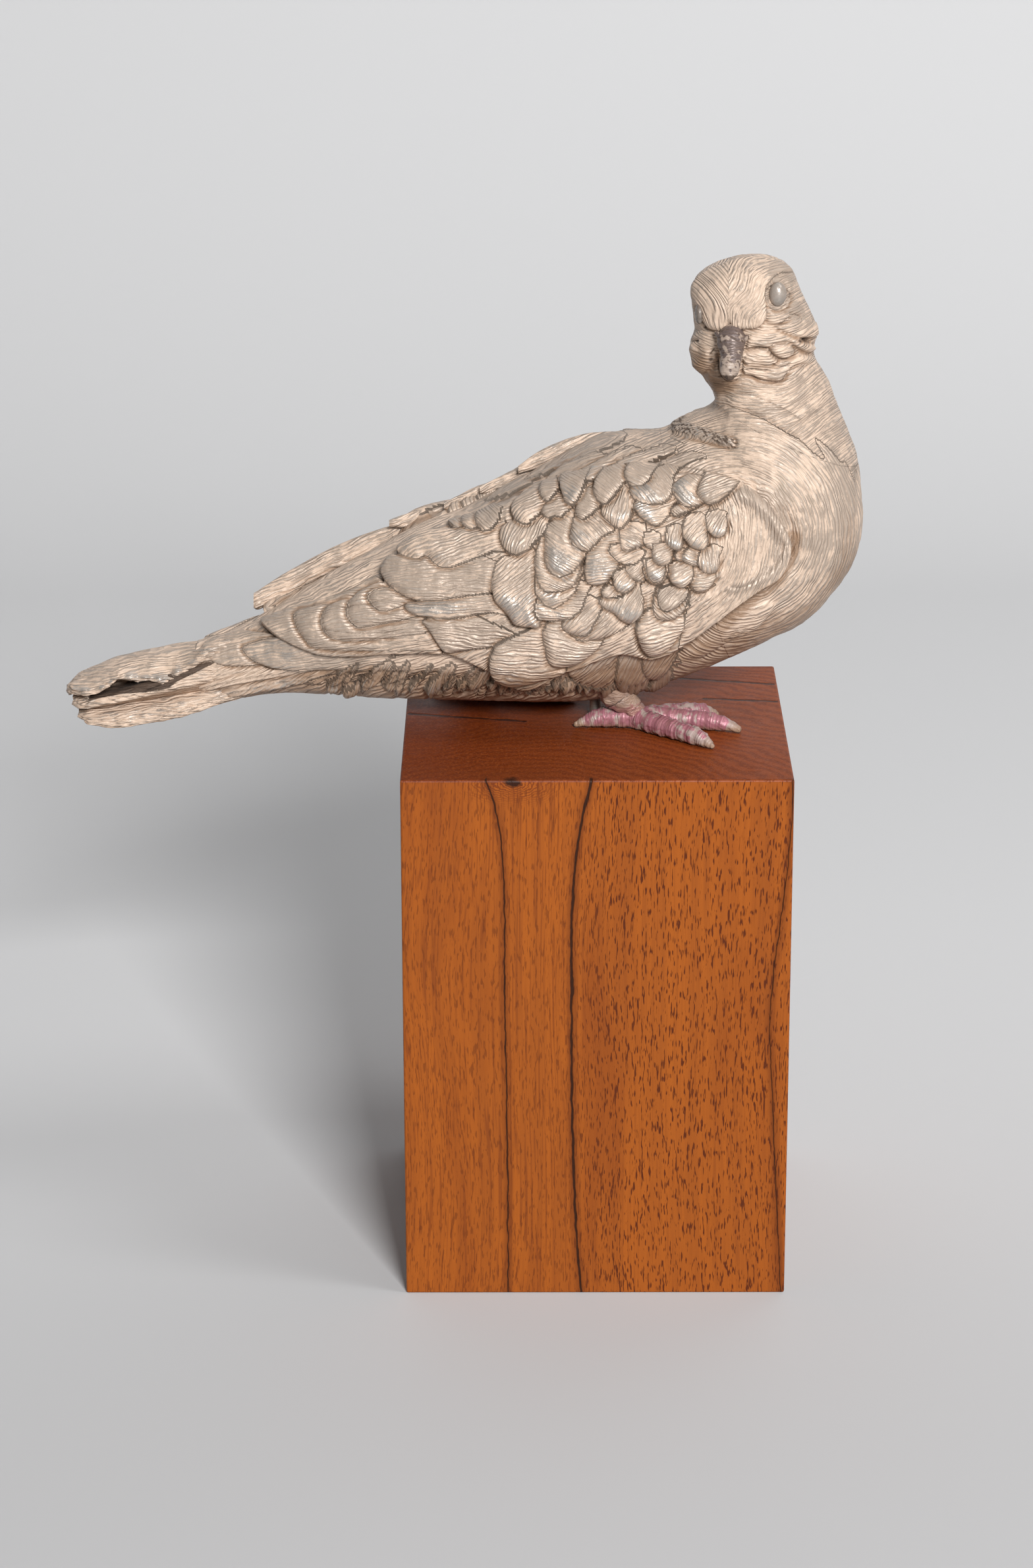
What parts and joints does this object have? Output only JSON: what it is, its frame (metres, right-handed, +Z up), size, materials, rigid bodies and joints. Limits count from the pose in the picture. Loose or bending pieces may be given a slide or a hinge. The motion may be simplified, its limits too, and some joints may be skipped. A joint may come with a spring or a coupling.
{
  "type": "dove statue",
  "caption": "Life-size cast dove with folded wings and turned head, standing on a tall square hardwood block with a metal pin under its belly.",
  "frame": {"origin": "centre of the plinth's underside", "axes": "+Z up, +X the way the dove's breast points, -Y the side that its head turns to"},
  "size_m": [0.3349, 0.152, 0.4274],
  "materials": {
    "dove_paint": "thin cream paint over silver-grey cast metal, rubbed through on the feather tips, with brown left in the creases",
    "oiled_hardwood": "oiled orange-brown hardwood with dark pores and two long drying cracks",
    "rod_metal": "polished metal pin"
  },
  "bodies": {
    "root": {"dove": "dove_paint", "plinth": "oiled_hardwood", "support_rod": "rod_metal"}
  },
  "joints": []
}
